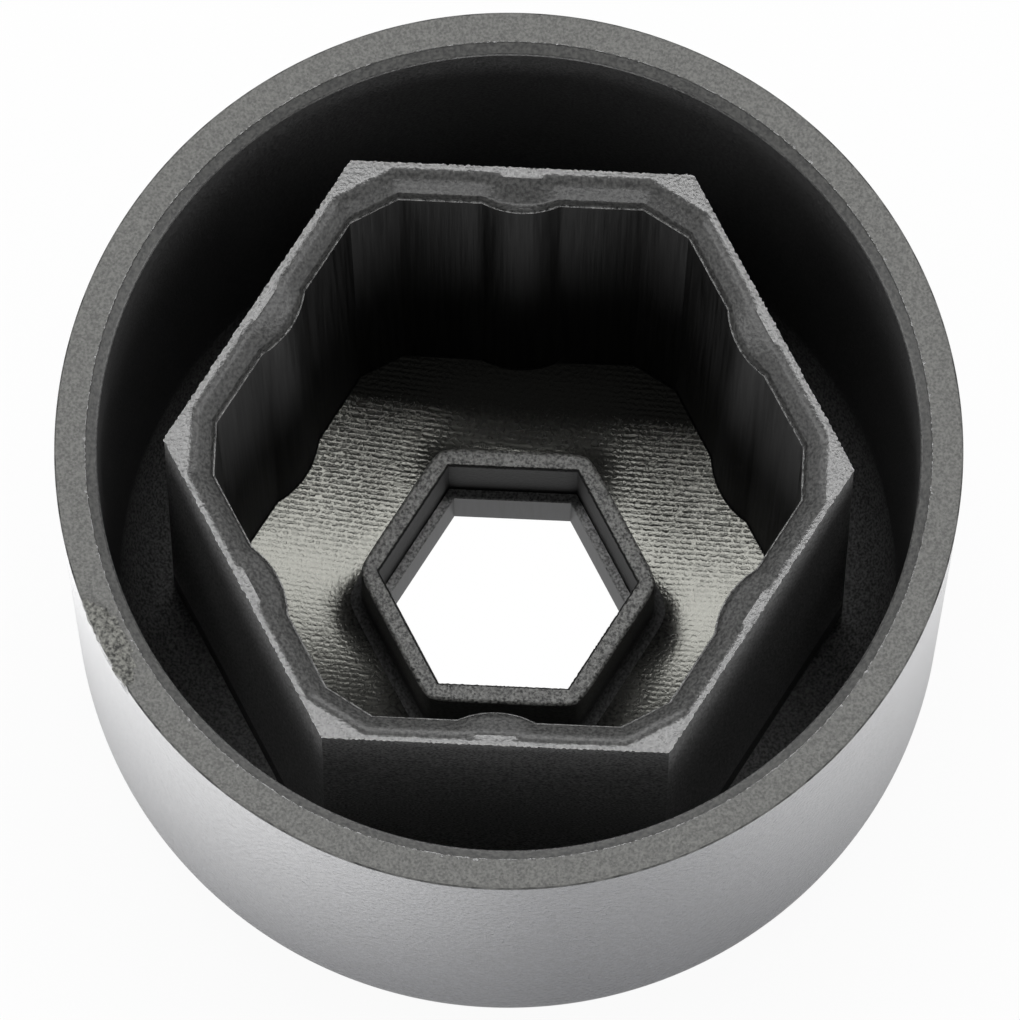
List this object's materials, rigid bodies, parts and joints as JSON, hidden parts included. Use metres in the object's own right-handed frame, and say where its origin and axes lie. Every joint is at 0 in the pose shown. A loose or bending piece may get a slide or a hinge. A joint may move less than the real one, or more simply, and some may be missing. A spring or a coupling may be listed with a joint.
{
  "type": "wheel bolt cover cap",
  "caption": "Round moulded cap with a skirt around a hexagonal tube that grips a wheel bolt head, and a hexagonal tool hole through its closed end.",
  "frame": {"origin": "centre of the closed face, on which the cap stands", "axes": "+Z along the cap's axis, out of the open end; +Y across one pair of the hexagonal tube's flats"},
  "size_m": [0.029, 0.029, 0.0218],
  "materials": {
    "black_nylon": "moulded, satin on the skirt and spark-eroded on the rim and collar"
  },
  "bodies": {
    "root": {"cap": "black_nylon"}
  },
  "joints": []
}
